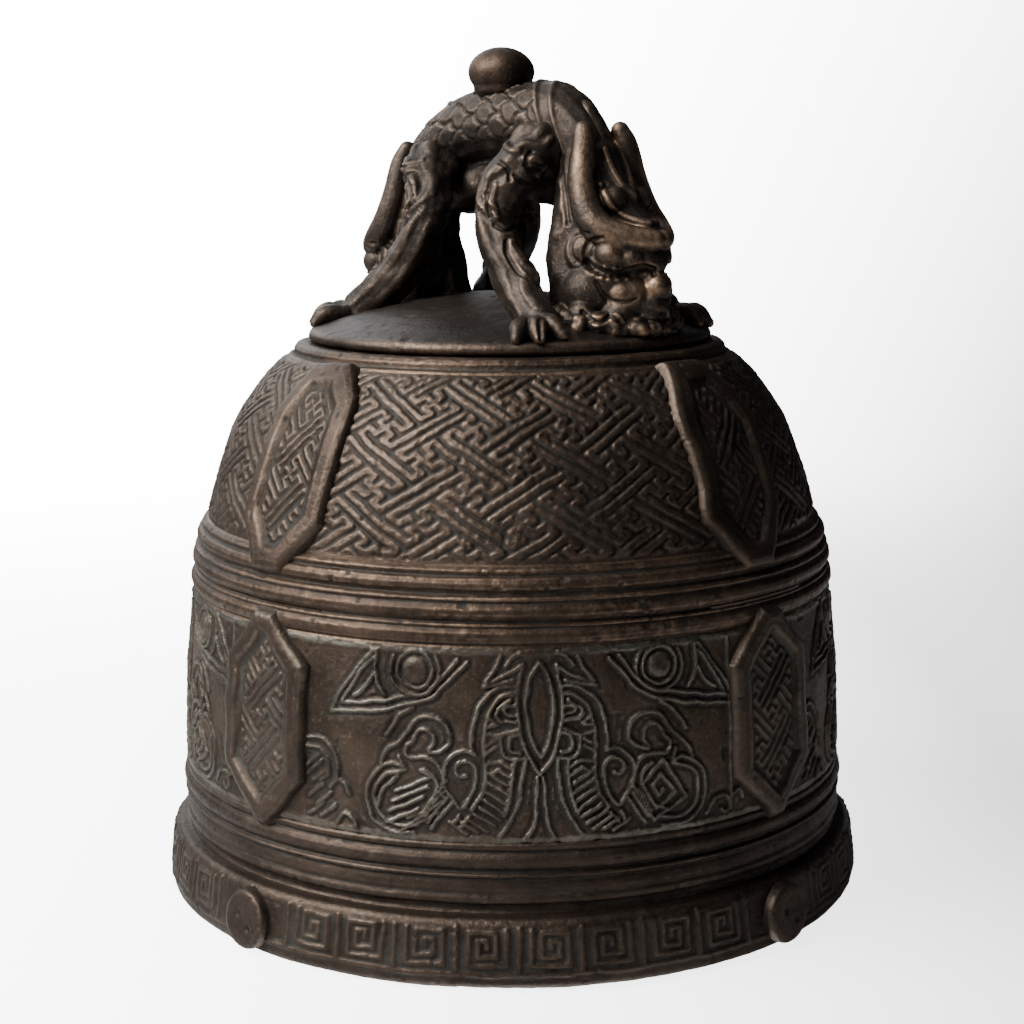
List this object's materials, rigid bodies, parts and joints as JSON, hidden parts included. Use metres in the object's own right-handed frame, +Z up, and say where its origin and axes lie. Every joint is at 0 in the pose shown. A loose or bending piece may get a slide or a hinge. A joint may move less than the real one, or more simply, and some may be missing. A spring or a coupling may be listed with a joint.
{
  "type": "temple bell",
  "caption": "Small cast bronze temple bell with an arched two-headed dragon handle, fret and mask relief panels, rim bosses and a swinging clapper inside.",
  "frame": {"origin": "middle of the lip's plane, on the bell's axis, so the bell stands on z = 0", "axes": "+Z up along the bell's axis; +X towards the east dragon head, a striking boss and a cartouche; +Y towards the north boss; the clapper swings in the XZ plane"},
  "size_m": [0.1444, 0.1444, 0.165],
  "materials": {
    "cast_bronze": "dark brown patinated cast bronze, worn on the edges, green-grey in the recesses",
    "dragon_bronze": "dark patinated cast bronze, rubbed warm on the horns and claws",
    "rubbed_bronze": "dark bronze rubbed to a warm sheen on its raised frames and faces",
    "black_iron": "dull blackened iron"
  },
  "bodies": {
    "root": {"bell_body": "cast_bronze", "crown_plate": "cast_bronze", "dragon_trunk": "dragon_bronze", "jewel": "rubbed_bronze", "dragon_head_east": "dragon_bronze", "dragon_head_west": "dragon_bronze", "dragon_leg_east_north": "dragon_bronze", "dragon_leg_east_south": "dragon_bronze", "dragon_leg_west_north": "dragon_bronze", "dragon_leg_west_south": "dragon_bronze", "upper_cartouche_east": "rubbed_bronze", "upper_cartouche_north": "rubbed_bronze", "upper_cartouche_west": "rubbed_bronze", "upper_cartouche_south": "rubbed_bronze", "lower_cartouche_east": "rubbed_bronze", "lower_cartouche_north": "rubbed_bronze", "lower_cartouche_west": "rubbed_bronze", "lower_cartouche_south": "rubbed_bronze", "striking_boss_east": "rubbed_bronze", "striking_boss_north": "rubbed_bronze", "striking_boss_west": "rubbed_bronze", "striking_boss_south": "rubbed_bronze", "clapper_staple": "black_iron"},
    "clapper": {"clapper_rod": "black_iron", "clapper_ball": "black_iron"}
  },
  "joints": [
    {"name": "clapper_swing", "type": "hinge", "parent": "root", "child": "clapper", "pos_m": [0, 0, 0.096], "axis": [0, 1, 0], "range_deg": [-43, 43]}
  ]
}
